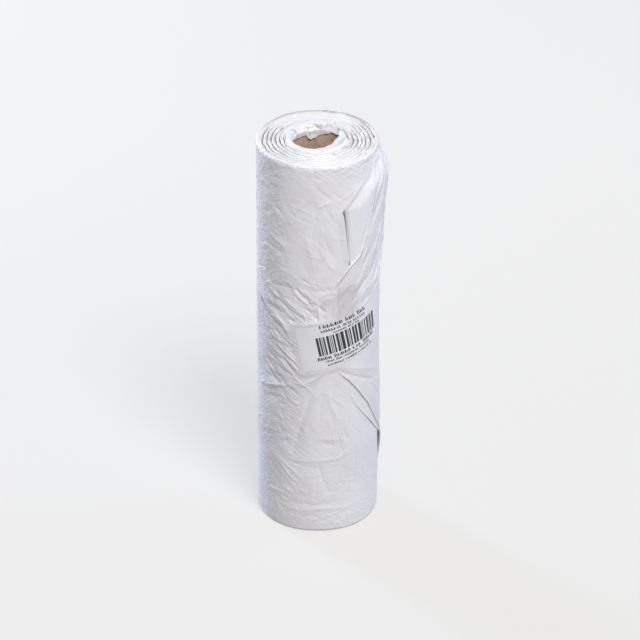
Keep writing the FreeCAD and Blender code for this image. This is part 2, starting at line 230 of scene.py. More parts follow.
# Folds of the film on the upper end, with places to the right and to the front of the axis
TOP_CREASES = [
    (-1.20, 0.4, 0.6, [(-6.2, -20.3), (-3.4, -17.4), (-0.5, -16.7), (3.4, -16.0)]),
    (-0.80, 0.4, 0.6, [(-17.0, -11.8), (-14.6, -9.8), (-11.8, -8.8)]),
    (0.90, 0.8, 0.6, [(-11.0, -16.8), (-7.2, -14.6), (-5.4, -12.0)]),
    (-0.70, 0.4, 0.6, [(-8.8, -17.8), (-5.4, -15.0), (-3.8, -12.6)]),
    (0.90, 0.7, 0.8, [(3.4, -17.6), (6.0, -19.6), (9.4, -17.2), (11.0, -14.4)]),
    (0.80, 1.3, 0.9, [(-8.0, -18.6), (-3.0, -16.9), (1.5, -15.4)]),
    (-0.80, 0.9, 0.6, [(3.8, -15.6), (8.0, -18.6), (11.2, -20.2)]),
    (-1.20, 0.6, 0.6, [(9.6, -19.4), (12.0, -13.4), (12.8, -11.2), (14.6, -9.0)]),
    (0.60, 1.2, 0.8, [(5.5, -20.8), (10.0, -22.6), (15.0, -21.0)]),
    (0.80, 0.9, 1.0, [(7.0, -15.6), (10.5, -15.0), (13.0, -12.8)]),
    (-0.90, 0.8, 0.6, [(14.7, -13.6), (18.0, -6.0), (18.8, 0.0)]),
    (-0.80, 0.5, 0.7, [(17.0, -1.0), (14.4, 5.4), (10.8, 11.0)]),
    (-0.70, 0.5, 0.7, [(20.8, 2.6), (17.6, 9.6), (14.4, 14.2)]),
    (0.60, 0.8, 0.8, [(19.0, 0.5), (16.0, 7.5), (12.8, 12.8)]),
    (0.50, 1.0, 0.9, [(-20.0, -8.0), (-17.8, -13.5), (-13.0, -18.5)]),
    (-0.50, 0.6, 0.9, [(-22.0, -10.0), (-18.8, -15.5), (-13.5, -21.0)]),
    (-0.60, 0.5, 0.5, [(-12.0, -15.5), (-10.0, -20.0), (-4.0, -26.0)]),
    (0.50, 0.8, 0.6, [(-15.0, -12.0), (-12.0, -18.0), (-6.0, -24.5)]),
    (-1.80, 0.45, 0.45, [(9.4, 18.8), (10.4, 18.9)]),
]

# Small creases strewn over the film: arcs, heights, count, direction in degrees or the point
# that they fan out from, spread of direction, shortest and longest, height of crest, width
STREWN = [
    (-75, -8, 104, 176, 80, -36, 10, 14, 42, 0.36, 0.50),
    (-72, -8, 104, 178, 130, -28, 28, 5, 16, 0.24, 0.42),
    (-80, -20, 178, 254, 330, 35, 28, 3, 10, 0.17, 0.38),
    (-80, -14, 178, 250, 60, -30, 30, 6, 20, 0.17, 0.42),
    (-24, 36, 178, 250, 34, -45, 35, 8, 26, 0.16, 0.60),
    (-12, 12, 150, 180, 40, -60, 30, 4, 12, 0.24, 0.42),
    (-75, -12, 56, 100, 160, -15, 50, 4, 12, 0.22, 0.42),
    (-20, 60, 58, 106, 40, (2, 120), 8, 8, 30, 0.18, 0.70),
    (-75, -14, 4, 56, 110, -35, 25, 5, 24, 0.18, 0.42),
    (-14, 80, 4, 56, 60, -10, 40, 5, 16, 0.10, 0.50),
    (-118, 118, 249, 261, 300, 8, 40, 3, 9, 0.14, 0.36),
    (-118, 118, 1, 12, 180, 5, 32, 3, 11, 0.11, 0.40),
    (75, 160, 5, 250, 170, -40, 25, 10, 36, 0.28, 0.65),
    (75, 160, 5, 250, 200, 20, 60, 4, 12, 0.20, 0.50),
]
STREWN_LOOSE = [
    (20, 125, 152, 254, 150, (5, 140), 6, 16, 56, 0.50, 0.60),
    (30, 125, 152, 254, 100, (5, 148), 35, 4, 12, 0.20, 0.45),
    (3, 24, 150, 176, 26, 65, 30, 4, 14, 0.24, 0.42),
    (16, 120, 5, 118, 70, (10, 124), 10, 10, 36, 0.20, 0.65),
    (60, 125, 5, 250, 60, 60, 30, 6, 16, 0.18, 0.50),
]

# Dashes and bars on the label: left, right, lowest, highest and the width of a dash
LINES_ABOVE = [(-18.9, 14.2, 12.9, 15.8, 2.6), (-18.4, 13.4, 10.0, 12.0, 1.7), (-11.0, 7.4, 7.9, 9.3, 1.5)]
LINES_BELOW = [
    (-24.0, 18.4, -9.3, -7.0, 2.3), (-19.6, 14.8, -11.5, -10.0, 1.4), (-18.6, 14.6, -14.2, -12.7, 1.4),
]
BARS = (-22.6, 20.0, -6.2, 7.0)
BAR_MODULE = 0.5

# Colours of the film, of the board, the paper and the ink, and directions of the film's fine lines:
# turn in degrees, length and width in millimetres
FILM_COLOUR = (0.80, 0.79, 0.825)
FILM_LAYERED = (0.765, 0.75, 0.795)
FILM_SINGLE = (0.835, 0.84, 0.885)
# Colour of the painted shade mixed into the film by its dark attribute, in gaps, creases, under edges and
# along the back rim
FILM_GAP_SHADE = (0.24, 0.21, 0.19)
END_COLOUR = (0.80, 0.80, 0.815)
# Colour of the painted shade in the gaps and folds of the ends, also the tint of their cream patches and
# layer lines
END_SHADE_AND_TINT = (0.30, 0.255, 0.22)
BOARD_COLOUR = (0.40, 0.27, 0.18)
BOARD_DARK = (0.04, 0.015, 0.005)
BOARD_LIGHT = (0.70, 0.50, 0.37)
PAPER_COLOUR = (0.78, 0.775, 0.80)
PAPER_DARK = (0.765, 0.76, 0.785)
PAPER_LIGHT = (0.80, 0.795, 0.82)
# Colour of the painted shade along the label's cut edge
PAPER_EDGE_SHADE = (0.36, 0.35, 0.36)
INK_COLOUR = (0.03, 0.035, 0.06)
INK_DARK = (0.006, 0.007, 0.014)
INK_LIGHT = (0.035, 0.04, 0.065)
ROLL_TURNS = [(-36, 20.0, 1.6), (32, 9.0, 1.5)]
LOOSE_TURNS = [(56, 28.0, 1.8), (20, 12.0, 1.8)]
END_TURNS = [(0, 6.0, 2.0)]
TURN_SHARPNESS = 9.0
GLOSS_REACH = (0.24, 0.36)

# Studio: camera, and glow of the floor from front to back
CAMERA_RISE = 30.25
CAMERA_DISTANCE = 3.3
CAMERA_TARGET = (0.0015, 0.0, 0.1319)
CAMERA_LENS = 298.8
FLOOR_COLOUR = (0.24, 0.24, 0.24)
FLOOR_GLOW = (1.0, 0.985, 0.955)
FLOOR_GLOW_REACH = (-0.35, 0.5)
FLOOR_GLOW_STRENGTH = (0.53, 0.58)
AIR_STRENGTH = 0.335
LIGHT_AIM = 0.13

# Soft panel lights: name, power, size, azimuth and elevation in degrees, distance and colour
LIGHTS = [
    ("key_above", 154, (1.5, 1.5), 22, 55, 4.0, (1.0, 0.995, 0.99)),
    ("cool_left", 52, (0.5, 1.2), -136, 4, 1.8, (0.62, 0.74, 1.0)),
    ("cool_right", 11, (0.5, 1.2), 112, 6, 1.8, (0.45, 0.62, 1.0)),
]


def smooth(low, high, value):
    """Rises softly from 0 at low to 1 at high."""
    share = min(1.0, max(0.0, (value - low) / (high - low)))
    return share * share * (3.0 - 2.0 * share)


def window(low, high, soft, value):
    """1 between low and high, fading to 0 over soft on both sides."""
    return smooth(low - soft, low, value) * (1.0 - smooth(high, high + soft, value))


def mix(first, second, share):
    return first + (second - first) * share


def roll_point(angle, radius, height):
    """A point round the roll in metres; the angle is from the front towards the right."""
    return Vector((radius * math.sin(angle), -radius * math.cos(angle), height)) * MM


def along(places, value, column=0):
    """Reads a table of places at a value of one column, and gives the other columns there."""
    keys = [place[column] for place in places]
    rising = keys[-1] > keys[0]
    table = places if rising else places[::-1]
    keys = keys if rising else keys[::-1]
    after = min(len(keys) - 1, max(1, bisect.bisect_left(keys, value)))
    before = after - 1
    share = min(1.0, max(0.0, (value - keys[before]) / (keys[after] - keys[before])))
    others = [n for n in range(len(table[0])) if n != column]
    return [mix(table[before][n], table[after][n], share) for n in others]


# Creases of the film

def strewn_creases(regions, seed):
    """Draws the small creases of each region, each with a slight bend."""
    draw = random.Random(seed)
    made = []
    for left, right, low, high, count, way, spread_by, short, long, crest, width in regions:
        for _ in range(count):
            arc = draw.uniform(left, right)
            height = draw.uniform(low, high)
            base = way
            if isinstance(way, tuple):
                base = math.degrees(math.atan2(height - way[1], arc - way[0]))
            turn = math.radians(base + draw.gauss(0, spread_by))
            half = 0.5 * mix(short, long, draw.random() ** 1.7)
            bend = half * draw.uniform(-0.22, 0.22)
            run = (math.cos(turn) * half, math.sin(turn) * half)
            middle = (arc - math.sin(turn) * bend, height + math.cos(turn) * bend)
            places = [(arc - run[0], height - run[1]), middle, (arc + run[0], height + run[1])]
            rise = crest * draw.uniform(0.5, 1.3) * draw.choice([-1, 1])
            made.append((rise, width * draw.uniform(0.9, 1.7), width * draw.uniform(0.8, 1.3), places))
    return made


def round_the_back(creases):
    """Adds to the creases that cross the back their copies a whole turn away."""
    whole = 2.0 * math.pi * RADIUS
    copies = []
    for rise, above, below, places in creases:
        for turn in (-whole, whole):
            shifted = [(arc + turn, height) for arc, height in places]
            if any(abs(arc) < whole / 2 + 6 for arc, height in shifted):
                copies.append((rise, above, below, shifted))
    return creases + copies


def laid_out(crease):
    """A crease as its segments, worked out once, with the box that it reaches."""
    crest, above, below, places = crease
    reach = 4.0 * max(above, below)
    whole = sum(math.dist(a, b) for a, b in zip(places, places[1:]))
    segments = []
    passed = 0.0
    for a, b in zip(places, places[1:]):
        length = math.dist(a, b)
        run = (b[0] - a[0], b[1] - a[1])
        segments.append((a[0], a[1], run[0], run[1], length * length, length / whole, passed / whole))
        passed += length
    arcs = [place[0] for place in places]
    heights = [place[1] for place in places]
    box = (min(arcs) - reach, max(arcs) + reach, min(heights) - reach, max(heights) + reach)
    return box, segments, crest, above, below


ROLL_LINES = [laid_out(crease) for crease in round_the_back(CREASES + strewn_creases(STREWN, 5))]
LOOSE_LINES = [laid_out(crease) for crease in LOOSE_CREASES + strewn_creases(STREWN_LOOSE, 9)]
TOP_LINES = [laid_out(crease) for crease in TOP_CREASES]


@lru_cache(maxsize=None)
def creases_at(height, loose):
    """The creases that reach a height."""
    lines = LOOSE_LINES if loose else ROLL_LINES
    return [line for line in lines if line[0][2] <= height <= line[0][3]]


def crease_lift(segments, crest, above, below, arc, height):
    """Height that one crease adds at a place: sharp along its line, fading at its ends."""
    nearest = 1e9
    side = 1.0
    share = 0.0
    for start_arc, start_height, run_arc, run_height, square, part, passed in segments:
        off_arc = arc - start_arc
        off_height = height - start_height
        spot = min(1.0, max(0.0, (off_arc * run_arc + off_height * run_height) / square))
        gap = math.hypot(off_arc - spot * run_arc, off_height - spot * run_height)
        if gap < nearest:
            nearest = gap
            side = (run_arc * off_height - run_height * off_arc) * (1.0 if run_arc >= 0 else -1.0)
            share = passed + spot * part
    width = above if side > 0 else below
    taper = 1.0 - 0.9 * abs(2.0 * share - 1.0) ** 3
    return crest * taper * math.exp(-(math.hypot(nearest, 0.25) - 0.25) / width)


def pressed_creases(arc, height, loose=False):
    """Height that all the creases add to the film at a place."""
    total = 0.0
    for box, segments, crest, above, below in creases_at(round(height, 1), loose):
        if box[0] <= arc <= box[1]:
            total += crease_lift(segments, crest, above, below, arc, height)
    return total


def top_folds(angle, radius):
    """Height that the folds of the upper end add at a place."""
    right = radius * math.sin(angle)
    front = radius * math.cos(angle)
    total = 0.0
    for box, segments, crest, above, below in TOP_LINES:
        if box[0] <= right <= box[1] and box[2] <= front <= box[3]:
            total += crease_lift(segments, crest, above, below, right, front)
    return total


def ridges(angle, height, lean, across, length, seed):
    """Sharp crests that run slanting round the roll, from 0 in the valleys to 1 on the crests."""
    turned = angle + lean * height / RADIUS
    place = Vector((
        RADIUS * math.sin(turned) / across,
        RADIUS * math.cos(turned) / across,
        height / length + seed,
    ))
    return max(0.0, 1.0 - abs(noise.noise(place)) * 3.2) ** 1.4


def swell(angle, height, size, seed):
    """Soft swelling of the film, from -1 to 1."""
    place = Vector((RADIUS * math.sin(angle), RADIUS * math.cos(angle), height)) / size
    return noise.noise(place + Vector((seed, -seed, seed * 0.5)))


def crinkle_at(angle, height):
    """How crumpled the film is at a place: least at the front above the label, most at the left."""
    arc = angle * RADIUS
    calm = window(-14, 34, 12, arc) * window(180, 246, 12, height)
    smooth_skirt = window(-2, 60, 10, arc) * window(20, 112, 10, height)
    pulled = window(-75, -6, 10, arc) * window(100, 180, 8, height)
    low_left = window(-70, -14, 8, arc) * window(54, 98, 8, height)
    grazed = 0.25 * (1.0 - smooth(-62, -46, arc)) * (1.0 - smooth(200, 220, height))
    return 0.55 - 0.30 * calm - 0.20 * smooth_skirt + 0.45 * pulled + 0.40 * low_left - grazed


def film_relief(angle, height):
    """Height of the roll's soft unevenness above its true cylinder."""
    amount = crinkle_at(angle, height)
    total = 0.50 * swell(angle, height, 34, 3.1) + (0.08 + 0.14 * amount) * swell(angle, height, 13, 7.7)
    total += 0.09 * amount * (ridges(angle, height, 1.1, 3.0, 16, 23.0) - 0.3)
    total += 0.07 * amount * (ridges(angle, height, -0.9, 2.6, 8, 37.0) - 0.3)
    return total


# Under and round the label

def label_place(arc, height):
    """Turns a place on the roll into across and up on the label."""
    aside = arc - LABEL_ARC
    above = height - LABEL_HEIGHT
    across = aside * math.cos(LABEL_TILT) + above * math.sin(LABEL_TILT)
    up = above * math.cos(LABEL_TILT) - aside * math.sin(LABEL_TILT)
    return across, up - LABEL_SKEW * (across + LABEL_HALF_WIDTH)


def outside_label(arc, height):
    """Distance outside the label's outline, and 0 or less inside."""
    across, up = label_place(arc, height)
    over = abs(across) - LABEL_HALF_WIDTH
    under = abs(up) - LABEL_HALF_HEIGHT
    if over > 0 and under > 0:
        return math.hypot(over, under)
    return max(over, under)


def label_seat(angle, height):
    """Height of the seat under the label above the roll's cylinder."""
    return LABEL_SEAT * math.cos(angle - math.radians(45)) + 0.10 * swell(angle, height, 13, 5.5)


def held_by_label(lift, angle, height, under):
    """Draws a film's height to the label's seat under it, and level with its face just outside it."""
    outside = outside_label(angle * RADIUS, height)
    if outside > 5.0:
        return lift
    held = label_seat(angle, height) + mix(-under, 0.05, smooth(-0.6, 0.6, outside))
    return mix(held, lift, smooth(0.6, 5.0, outside))


# The wound film

def side_lift(angle, height):
    """Height of the roll's own film above its cylinder."""
    arc = angle * RADIUS
    lift = film_relief(angle, height) + pressed_creases(arc, height)
    lift += free_edge_swell(arc, height)
    lift -= DROP_UNDER_SHEET * under_loose_end(arc, height)
    return held_by_label(lift, angle, height, 0.10)


def free_edge_swell(arc, height):
    """Rise of the roll's film towards the panel of the loose end that comes out from under it."""
    if not 178 < height < 258 or arc > 60:
        return 0.0
    edge = along(PANEL_EDGE, min(256.0, max(187.0, height)), 1)[0]
    gap = edge - arc
    near = math.exp(-max(0.0, gap) / 6.0) * (1.0 - smooth(0.0, 0.6, -gap))
    return near * window(196, 246, 14, height)


def sheet_edge(height):
    """Left edge of the loose end's main sheet."""
    table = SKIRT_EDGE if height < 124 else FLAP_EDGE
    return along(table, height, 1)[0]


def outer_edge(height):
    """Left edge of the whole loose end, with its panel."""
    edge = sheet_edge(height)
    if height > 187:
        edge = min(edge, along(PANEL_EDGE, height, 1)[0])
    return edge


def tip_share(height):
    """1 at the heights of the loose end's gathered tip, which lies flush with the roll."""
    return window(116, 163, 6, height)


def under_loose_end(arc, height):
    """1 where the loose end covers the roll's film."""
    if arc < 0 or arc > 130:
        return 0.0
    edge = outer_edge(height) + 7.0 * tip_share(height)
    covered = smooth(edge - 0.2, edge + 1.0, arc) * (1 - smooth(104, 120, arc))
    return covered * (1 - smooth(240, 250, height))


def profile_at(places, share):
    """A place along a rim's profile, as radius and height."""
    spot = share * (len(places) - 1)
    first = min(len(places) - 2, int(spot))
    part = spot - first
    return (
        mix(places[first][0], places[first + 1][0], part),
        mix(places[first][1], places[first + 1][1], part),
    )


def column_angle(u):
    """Angle of a grid's column, with the columns closer together at the front."""
    turn = 2.0 * u - 1.0
    return math.pi * (0.72 * turn + 0.28 * turn ** 3)


def side_row(row):
    """Radius and height of a row of the side, from inside the lower rim to inside the upper rim."""
    if row < RIM_ROWS:
        return profile_at(LOWER_RIM, row / RIM_ROWS)
    if row <= RIM_ROWS + HALF_ROWS:
        return RADIUS, mix(LOWER_RIM[-1][1], SIDE_SEAM, (row - RIM_ROWS) / HALF_ROWS)
    if row <= RIM_ROWS + 2 * HALF_ROWS:
        return RADIUS, mix(SIDE_SEAM, UPPER_RIM[0][1], (row - RIM_ROWS - HALF_ROWS) / HALF_ROWS)
    return profile_at(UPPER_RIM, (row - RIM_ROWS - 2 * HALF_ROWS) / RIM_ROWS)


def side_point(u, row):
    """A point of the roll's side."""
    angle = column_angle(u)
    radius, height = side_row(row)
    lift = side_lift(angle, height) * smooth(33.8, 37.2, radius)
    rim = smooth(254, 259, height)
    wave = rim * (0.30 * swell(angle, height * 0.2, 7.0, 9.0) + 0.32 * swell(angle, radius * 1.5, 2.6, 4.4))
    crumple = rim * 0.30 * swell(angle, height * 1.5, 2.2, 8.8)
    return roll_point(angle, radius + lift + crumple, max(0.0, height + wave))


def lower_side_point(u, v):
    return side_point(u, v * (RIM_ROWS + HALF_ROWS))


def upper_side_point(u, v):
    return side_point(u, (1.0 + v) * (RIM_ROWS + HALF_ROWS))


def turn_gap(angle, radius):
    """Depth share of the gap between turns at a place on an end, and how far it is from a crest."""
    wander = 0.6 * swell(angle, radius * 2.0, 11, 2.2) + 0.25 * swell(angle, radius * 3.0, 4, 6.2)
    phase = (radius + wander - 33.5) / TURN_PITCH + (math.degrees(angle) + 90.0) / 360.0
    part = phase - math.floor(phase)
    gap = min(part, 1.0 - part) * TURN_PITCH
    crown = (2.0 * part - 1.0) ** 2
    return math.exp(-((gap / TURN_GAP) ** 2)), crown


def openness(angle):
    """How far the turns stand apart: most at the left and right, less at the front, hardly at the back."""
    sides = abs(math.sin(angle)) ** 1.4
    front = 0.60 * max(0.0, math.cos(angle))
    back = 1.0 - smooth(118, 150, abs(math.degrees(angle)))
    return (sides + front) * mix(0.12, 1.0, back)


def layer_lines(angle, radius):
    """Thin lines of the film's layers inside a turn, broken along their length."""
    place = roll_point(angle, radius, 0) / MM
    fine = radius + 0.7 * noise.noise(place / 10.0) + 0.2 * noise.noise(place / 3.0)
    line = max(0.0, math.sin(fine * 2.0 * math.pi / 1.3)) ** 5
    broken = smooth(-0.25, 0.35, noise.noise(place / 5.0 + Vector((4.0, 2.0, 1.0))))
    return line * broken


def end_dip(angle, radius):
    """How far an end's film lies below its highest plane."""
    gap, crown = turn_gap(angle, radius)
    open_share = openness(angle)
    place = roll_point(angle, radius, 0) / MM
    dip = open_share * (1.8 * gap + 0.45 * crown)
    dip += 0.50 * noise.noise(place / 9.0) + 0.34 * noise.noise(place / 3.4)
    dip += (0.24 + 0.45 * open_share) * layer_lines(angle, radius)
    return 0.45 + dip


def top_point(u, v):
    """The upper end, from under the outer turn's rim to the mouth."""
    angle = column_angle(u)
    radius = mix(*TOP_SPAN, v)
    rise = 0.5 * (1.0 - smooth(18.0, 24.0, radius))
    return roll_point(angle, radius, LENGTH + rise + top_folds(angle, radius) - end_dip(angle, radius))


def bottom_point(u, v):
    """The lower end, from inside the outer turn's rim to the core."""
    angle = column_angle(u)
    radius = mix(*FOOT_SPAN, v)
    return roll_point(angle, radius, max(0.05, 0.8 * end_dip(angle, radius) - 0.3))


def mouth_back(angle):
    """1 round the back of the mouth, where more film is pushed in."""
    return smooth(104, 140, abs(math.degrees(angle)))


def ring_noise(angle, size, shift=(0.0, 0.0, 0.0)):
    """Noise round a ring, joined at the back."""
    return noise.noise(Vector((math.cos(angle), math.sin(angle), 0.0)) * size + Vector(shift))


def mouth_section(angle):
    """The pushed-in film from the turns over its crest to its torn edge, as radius and height."""
    back = mouth_back(angle)
    edge_radius, edge_height = along(MOUTH_EDGE, math.degrees(angle))
    crest_radius = mix(16.4, 17.2, back)
    crest_height = 260.5 + 0.5 * ring_noise(angle, 3.0)
    return [
        (mix(19.4, 29.0, back), 258.9),
        (mix(18.9, 24.5, back), mix(259.4, 260.0, back)),
        (mix(18.0, 20.0, back), crest_height - 0.2),
        (crest_radius, crest_height),
        (mix(crest_radius, edge_radius, 0.35), mix(crest_height, edge_height, 0.28)),
        (mix(crest_radius, edge_radius, 0.75), mix(crest_height, edge_height, 0.66)),
        (edge_radius, edge_height),
    ]


def mouth_point(u, v):
    """The film pushed in over the core, crumpled most at the back."""
    angle = column_angle(u)
    back = mouth_back(angle)
    radius, height = profile_at(mouth_section(angle), v)
    pleat = ring_noise(angle, 3.0, (0, 0, v * 5.0)) + 0.6 * ring_noise(angle, 6.5, (0, 0, v * 8.0))
    folds = max(0.0, 1.0 - 5.0 * abs(ring_noise(angle, 2.2, (2.0, 1.0, v * 4.0))))
    facets = max(0.0, 1.0 - 5.0 * abs(ring_noise(angle, 4.0, (7.0, 3.0 + v * 7.0, v * 13.0))))
    reach = smooth(0.1, 0.4, v)
    crumple = mix(0.5, 0.8, back) * pleat * reach
    radius += 0.3 * crumple
    if height < CORE_TOP + 0.8:
        radius = min(radius, CORE_BORE - 0.4)
    torn = min(0.0, 0.3 * ring_noise(angle, 16.0)) * smooth(0.8, 1.0, v)
    pressed = top_folds(angle, radius) * smooth(CORE_TOP, 259.0, height)
    crisp = (0.6 * folds + 0.4 * facets) * reach * back
    return roll_point(angle, radius + torn, height + 0.7 * crumple + crisp + pressed)


def mouth_shade(u, v):
    """Painted shade in the folds of the pushed-in film, which also grows darker towards its torn edge."""
    angle = column_angle(u)
    radius = profile_at(mouth_section(angle), v)[0]
    return min(0.8, 0.85 * max(0.0, -top_folds(angle, radius)) + 0.12 * smooth(0.75, 1.0, v))


# The loose end

def tail_seat(angle):
    """Height of the loose end's own seat above the roll's cylinder."""
    return LABEL_SEAT * max(0.0, math.cos(angle - math.radians(45)))


def stand_off(angle, height):
    """How far the loose end stands off the roll, towards the right and the back."""
    inside = angle * RADIUS - outer_edge(height)
    if height > 165:
        rise = min(1.0, (height - 165) / 74)
        drawn = 1.0 - smooth(238, 256.5, height)
        turned = max(0.0, math.cos(angle - math.radians(110)))
        return FLAP_STAND_OFF * rise * drawn * smooth(0, 13, inside) * turned
    if height < 112:
        attached = mix(1.0, smooth(0, 12, inside), smooth(48, 64, height))
        turned = max(0.0, math.cos(angle - math.radians(95)))
        return SKIRT_STAND_OFF * (112 - height) / 109 * attached * turned
    return 0.0


def loose_lift(angle, height, lift, creased=1.0):
    """Height above the roll's cylinder of a place on the loose end, lift above the seat of its solids."""
    relief = 0.45 * film_relief(angle, height) + creased * pressed_creases(angle * RADIUS, height, True)
    raised = tail_seat(angle) + stand_off(angle, height) + lift + relief
    return held_by_label(raised, angle, height, 0.03)


def loose_point(angle, height, lift, creased=1.0):
    return roll_point(angle, RADIUS + loose_lift(angle, height, lift, creased), height)


def hem(gap, crest, settle):
    """Cross shape of a folded edge: it rises steeply out of the roll's film, then settles."""
    if gap < 0.5:
        return mix(-0.9, crest, math.sin(gap / 0.5 * math.pi / 2.0))
    return mix(crest, settle, smooth(0.5, 2.6, gap))


def spread(u, width):
    """Places columns closely at a sheet's edge and widely beyond it, from 0 to width."""
    return width * (0.22 * u + 0.78 * u ** 2.4)


def panel_place(u, v):
    """Height, left edge and distance from it of a place on the panel."""
    height = mix(*PANEL_SPAN, v)
    left = along(PANEL_EDGE, height, 1)[0]
    right = along(FLAP_EDGE, height, 1)[0] + 5.0
    return height, left, spread(u, max(1.0, right - left))


def panel_point(u, v):
    """The recessed panel between the free edge and the flap."""
    height, left, gap = panel_place(u, v)
    recess = -0.8 * (1.0 - smooth(0, mix(6.0, 1.8, smooth(196, 229, height)), gap))
    edge = mix(recess, hem(gap, 0.45, 0.1), smooth(222, 230, height))
    return loose_point((left + gap) / RADIUS, height, edge - 0.2, 0.15)


def sheet_place(u, v):
    """Height, left edge and distance from it of a place on the main sheet."""
    height = mix(*SHEET_SPAN, v)
    left = sheet_edge(height)
    return height, left, spread(u, SHEET_END - left)


def sheet_point(u, v):
    """The loose end's main sheet: the flap above the label and the skirt below it, round to the back."""
    height, left, gap = sheet_place(u, v)
    upper = smooth(168, 200, height) * (1.0 - 0.8 * smooth(232, 248, height))
    crest = mix(0.26, mix(0.10, 0.85, upper), smooth(112, 130, height))
    edge = hem(gap, crest, 0.15)
    sunk = 0.8 * smooth(98, SHEET_END, left + gap) + 0.9 * smooth(253, SHEET_SPAN[1], height)
    angle = (left + gap) / RADIUS
    lift = loose_lift(angle, height, edge - sunk)
    flush = tip_share(height) * (1.0 - smooth(1.0, 7.0, gap))
    if flush > 0.0:
        lift = mix(lift, side_lift(angle, height) + 0.03, flush)
    return roll_point(angle, RADIUS + lift, height)


def pleat_point(u, v):
    """The narrow pleat under the skirt's edge."""
    height = mix(*PLEAT_SPAN, v)
    left = along(PLEAT_EDGE, height, 1)[0]
    right = along(SKIRT_EDGE, height, 1)[0] + 3.0
    gap = spread(u, max(0.8, right - left))
    edge = hem(gap, 0.22, 0.05)
    return loose_point((left + gap) / RADIUS, height, edge - mix(0.45, 0.9, smooth(74, 98, height)))


def panel_shade(u, v):
    """Painted shade deep under the free edge that hangs over the panel, and along its folded edge near the
    top.
    """
    height, _, gap = panel_place(u, v)
    open_share = smooth(188, 228, height)
    core = mix(1.0, 1.35, open_share)
    under = 1.0 - 0.62 * smooth(core, core + 0.5, gap)
    under *= 1.0 - smooth(core, core + mix(1.4, 4.2, open_share), gap)
    return mix(under, 0.5 * math.exp(-((gap / 0.5) ** 2)), smooth(227, 230, height))


def sheet_shade(u, v):
    """Painted shade behind the sheet's rolled edge, along its edge and in its pull lines; also darker over
    the second layer at its tip.
    """
    height, left, gap = sheet_place(u, v)
    arc = left + gap
    upper = smooth(190, 215, height)
    reach = mix(0.9, 2.2, upper)
    behind = mix(0.95, 0.60, upper) * math.exp(-(((gap - reach) / 0.35) ** 2))
    behind *= smooth(172, 182, height) * (1 - smooth(226, 240, height))
    rim = 0.15 * math.exp(-((gap / 0.3) ** 2)) * (1.0 - smooth(104, 112, height))
    layer = 0.24 * smooth(11.5, 12.0, arc) * (1 - smooth(22, 30, arc)) * window(150, 175.2, 0.5, height)
    pulled = 0.14 * max(0.0, -pressed_creases(arc, height, True)) * smooth(150, 170, height)
    return min(1.0, behind + rim + layer + pulled)


def rim_shade(u, v):
    """Slight painted shade on the outer turn's rim at the back, standing in for light that comes through
    it.
    """
    height = side_row((1.0 + v) * (RIM_ROWS + HALF_ROWS))[1]
    return 0.55 * smooth(257.5, 259.5, height) * smooth(95, 140, abs(math.degrees(column_angle(u))))


def overhang_point(u, v):
    """The roll's film where it hangs over the panel with a free edge."""
    height = mix(*OVERHANG_SPAN, v)
    left = along(PANEL_EDGE, height, 1)[0]
    ends = window(194, 224, 5.0, height)
    arc = mix(left - OVERHANG_WIDTH, left + 0.8 * ends - 0.3, u)
    lift = side_lift(min(arc, left - 0.2) / RADIUS, height)
    lift = lift + (0.5 * u ** 3 - 0.10) * ends - 0.2 * (1 - ends)
    return roll_point(arc / RADIUS, RADIUS + lift, height)


# The label and its print

def label_point(across, up, lift):
    """A place on the label's face, lift above it; the label was stuck on a little askew."""
    up += LABEL_SKEW * (across + LABEL_HALF_WIDTH)
    arc = LABEL_ARC + across * math.cos(LABEL_TILT) - up * math.sin(LABEL_TILT)
    height = LABEL_HEIGHT + across * math.sin(LABEL_TILT) + up * math.cos(LABEL_TILT)
    angle = arc / RADIUS
    return roll_point(angle, RADIUS + label_seat(angle, height) + LABEL_PAPER + lift, height)


def paper_point(u, v):
    """The label's face with its corners rounded."""
    across = (u - 0.5) * 2.0 * LABEL_HALF_WIDTH
    up = (v - 0.5) * 2.0 * LABEL_HALF_HEIGHT
    inset_x = abs(across) - (LABEL_HALF_WIDTH - LABEL_CORNER)
    inset_y = abs(up) - (LABEL_HALF_HEIGHT - LABEL_CORNER)
    if inset_x > 0 and inset_y > 0:
        shrink = max(inset_x, inset_y) / math.hypot(inset_x, inset_y)
        across = math.copysign(LABEL_HALF_WIDTH - LABEL_CORNER + inset_x * shrink, across)
        up = math.copysign(LABEL_HALF_HEIGHT - LABEL_CORNER + inset_y * shrink, up)
    return label_point(across, up, 0.0)


def paper_shade(u, v):
    """Painted shade along the label's cut edge."""
    aside = min(u, 1.0 - u) * 2.0 * LABEL_HALF_WIDTH
    above = min(v, 1.0 - v) * 2.0 * LABEL_HALF_HEIGHT
    return 0.45 if min(aside, above) < LABEL_BORDER else 0.0


def ink_patch(bm, left, right, low, high):
    """One printed patch on the label, wrapped on its face."""
    columns = max(1, round((right - left) / 1.2))
    rows = max(1, round((high - low) / 2.5))
    made = bmesh.ops.create_grid(bm, x_segments=columns, y_segments=rows, size=0.5)
    for vert in made["verts"]:
        across = mix(left, right, vert.co.x + 0.5)
        up = mix(low, high, vert.co.y + 0.5)
        vert.co = label_point(across, up, INK_LIFT)


def ink_words(bm, draw, left, right, low, high, letter):
    """A line of dashes grouped as words."""
    across = left
    while across < right - letter:
        for _ in range(draw.randint(3, 8)):
            wide = letter * draw.uniform(0.55, 0.95)
            if across + wide > right:
                break
            tall = high if draw.random() < 0.6 else mix(low, high, 0.8)
            ink_patch(bm, across, across + wide * 0.48, low, tall)
            if draw.random() < 0.85:
                short = mix(low, tall, draw.choice([0.6, 0.8, 1.0]))
                ink_patch(bm, across + wide * 0.66, across + wide, low, short)
            across += wide + letter * 0.20
        across += letter * 0.60


